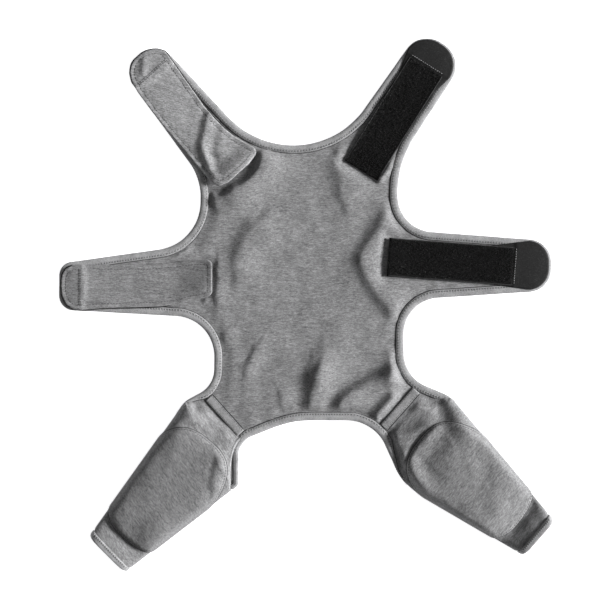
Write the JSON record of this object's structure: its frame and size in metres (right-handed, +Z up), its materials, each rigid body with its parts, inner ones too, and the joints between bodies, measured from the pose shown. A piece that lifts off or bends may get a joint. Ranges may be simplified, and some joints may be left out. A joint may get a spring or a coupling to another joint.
{
  "type": "dog recovery shirt",
  "caption": "Dog recovery shirt laid flat: jersey body panel with bound edges, fastening straps with hook tapes and loop tabs, and leg sleeves with padded elbows.",
  "frame": {"origin": "on the surface that the shirt lies on, under the middle of its outline", "axes": "+Z up from the surface to the fastening side, +Y towards the neck, +X towards the straps with the hook tapes"},
  "size_m": [0.4944, 0.5334, 0.0207],
  "materials": {
    "body_jersey": "mid-grey heather cotton jersey with fine dark and light streaks, matt",
    "pad_jersey": "darker grey heather jersey over a soft foam pad, matt",
    "binding_jersey": "grey rib binding folded over the edge and held by a ladder of cover stitching, matt",
    "hook_tape": "black woven nylon tape covered in fine hooks",
    "tape_end": "smooth black woven tape, slightly satin"
  },
  "bodies": {
    "root": {"body_panel": "body_jersey", "neck_binding": "binding_jersey", "right_armhole_binding": "binding_jersey", "right_waist_binding": "binding_jersey", "hem_binding": "binding_jersey", "left_waist_binding": "binding_jersey", "left_armhole_binding": "binding_jersey", "left_sleeve": "body_jersey", "left_elbow_pad": "pad_jersey", "left_cuff": "binding_jersey", "left_seam_band": "binding_jersey", "right_sleeve": "body_jersey", "right_elbow_pad": "pad_jersey", "right_cuff": "binding_jersey", "right_seam_band": "binding_jersey", "neck_hook_tape": "hook_tape", "chest_hook_tape": "hook_tape", "neck_tape_end": "tape_end", "chest_tape_end": "tape_end", "neck_loop_tab": "body_jersey", "chest_loop_tab": "body_jersey"}
  },
  "joints": []
}
